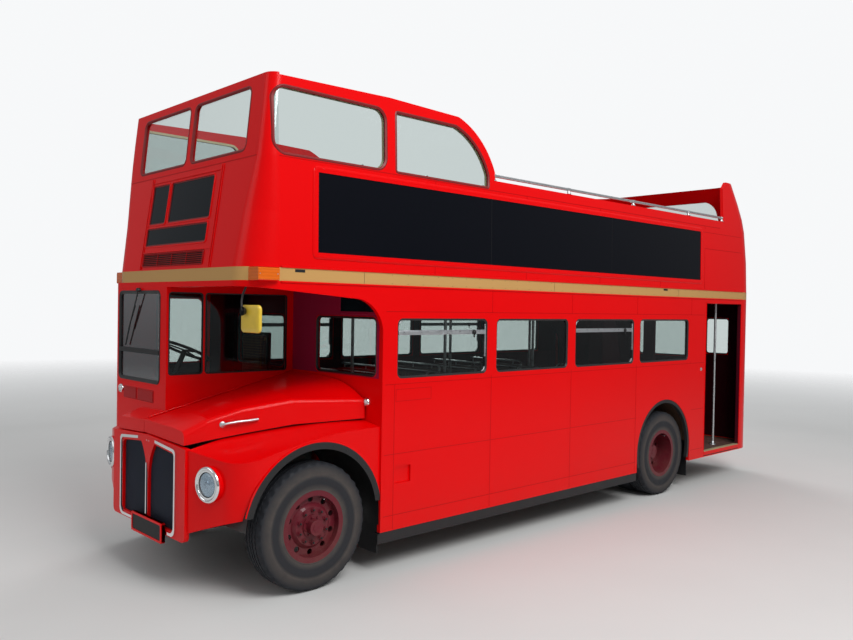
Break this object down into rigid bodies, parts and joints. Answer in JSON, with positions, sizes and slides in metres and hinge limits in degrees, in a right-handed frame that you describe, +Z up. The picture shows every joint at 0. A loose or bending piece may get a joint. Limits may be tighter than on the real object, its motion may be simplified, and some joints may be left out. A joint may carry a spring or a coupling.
{
  "type": "open top double decker bus",
  "caption": "Open top double deck bus with a half cab, a front engine under a side bonnet, raised front screens and an open rear platform.",
  "frame": {"origin": "on the road, midway along and across the bus", "axes": "+Z up, the bus faces -Y, +X towards the nearside (the platform's side)"},
  "size_m": [2.499, 8.38, 3.962],
  "materials": {
    "body_red": "gloss paint",
    "band_cream": "gloss paint",
    "inner_maroon": "satin paint",
    "wheel_maroon": "gloss paint",
    "chassis_black": "matt paint",
    "engine_grey": "rough",
    "floor_brown": "slatted",
    "deck_grey": "matt",
    "board_black": "satin paint",
    "blind_black": "polished",
    "fitting_black": "matt",
    "seat_cloth": "moquette",
    "seat_steel": "satin",
    "rail_steel": "satin",
    "bright_chrome": "polished",
    "mesh_dark": "matt",
    "lamp_glass": "polished",
    "clear_glass": "polished",
    "amber_plastic": "gloss",
    "mirror_case": "gloss",
    "trim_rubber": "matt",
    "tyre_black": "matt"
  },
  "bodies": {
    "bus": {"chassis_frame": "chassis_black", "engine_block": "engine_grey", "fuel_tank": "chassis_black", "front_axle": "chassis_black", "rear_axle": "chassis_black", "lower_floor": "floor_brown", "platform": "floor_brown", "lower_side_near": "body_red", "lower_side_off": "body_red", "lower_rear": "body_red", "front_bulkhead": "body_red", "rear_bulkhead": "inner_maroon", "staircase": "inner_maroon", "band": "band_cream", "upper_floor": "deck_grey", "upper_side_near": "body_red", "upper_side_off": "body_red", "upper_front": "body_red", "upper_rear": "body_red", "ad_boards": "board_black", "blind_glass": "blind_black", "canopy_valance": "body_red", "wing_near": "body_red", "wing_off": "body_red", "cab_front": "body_red", "cab_side_near": "body_red", "cab_side_off": "body_red", "cab_floor": "floor_brown", "cab_fittings": "fitting_black", "driver_seat_pads": "seat_cloth", "door_rails": "body_red", "grille_panel": "body_red", "grille_mesh": "mesh_dark", "nose_block": "body_red", "front_chrome": "bright_chrome", "headlamp_lenses": "lamp_glass", "number_plate": "board_black", "marker_lamps": "amber_plastic", "mirror_near": "mirror_case", "seat_frames": "seat_steel", "seat_pads": "seat_cloth", "handrails": "rail_steel", "black_trims": "trim_rubber", "window_glass": "clear_glass"},
    "knuckle_near": {"knuckle_near": "chassis_black"},
    "knuckle_off": {"knuckle_off": "chassis_black"},
    "front_wheel_near": {"front_wheel_near": "wheel_maroon", "front_tyre_near": "tyre_black"},
    "front_wheel_off": {"front_wheel_off": "wheel_maroon", "front_tyre_off": "tyre_black"},
    "rear_wheels_near": {"rear_wheels_near": "wheel_maroon", "rear_tyres_near": "tyre_black"},
    "rear_wheels_off": {"rear_wheels_off": "wheel_maroon", "rear_tyres_off": "tyre_black"},
    "bonnet": {"bonnet": "body_red"},
    "cab_door": {"cab_door": "body_red", "cab_door_glass": "clear_glass"}
  },
  "joints": [
    {"name": "steer_near", "type": "hinge", "parent": "bus", "child": "knuckle_near", "pos_m": [0.93, -3.319, 0.502], "axis": [0, 0, 1], "range_deg": [-35, 35]},
    {"name": "steer_off", "type": "hinge", "parent": "bus", "child": "knuckle_off", "pos_m": [-0.93, -3.319, 0.502], "axis": [0, 0, 1], "range_deg": [-35, 35]},
    {"name": "front_spin_near", "type": "hinge", "parent": "knuckle_near", "child": "front_wheel_near", "pos_m": [0.93, -3.319, 0.502], "axis": [1, 0, 0], "continuous": true},
    {"name": "front_spin_off", "type": "hinge", "parent": "knuckle_off", "child": "front_wheel_off", "pos_m": [-0.93, -3.319, 0.502], "axis": [1, 0, 0], "continuous": true},
    {"name": "rear_spin_near", "type": "hinge", "parent": "bus", "child": "rear_wheels_near", "pos_m": [1, 1.812, 0.502], "axis": [1, 0, 0], "continuous": true},
    {"name": "rear_spin_off", "type": "hinge", "parent": "bus", "child": "rear_wheels_off", "pos_m": [-1, 1.812, 0.502], "axis": [1, 0, 0], "continuous": true},
    {"name": "bonnet_lift", "type": "hinge", "parent": "bus", "child": "bonnet", "pos_m": [-0.088, -2.702, 1.618], "axis": [0, -0.9723, -0.2339], "range_deg": [0, 42]},
    {"name": "cab_door_slide", "type": "slide", "parent": "bus", "child": "cab_door", "axis": [0, 1, 0], "range_m": [0, 0.58]}
  ],
  "couplings": [
    {"joint": "steer_off", "follows": "steer_near", "ratio": 1}
  ]
}
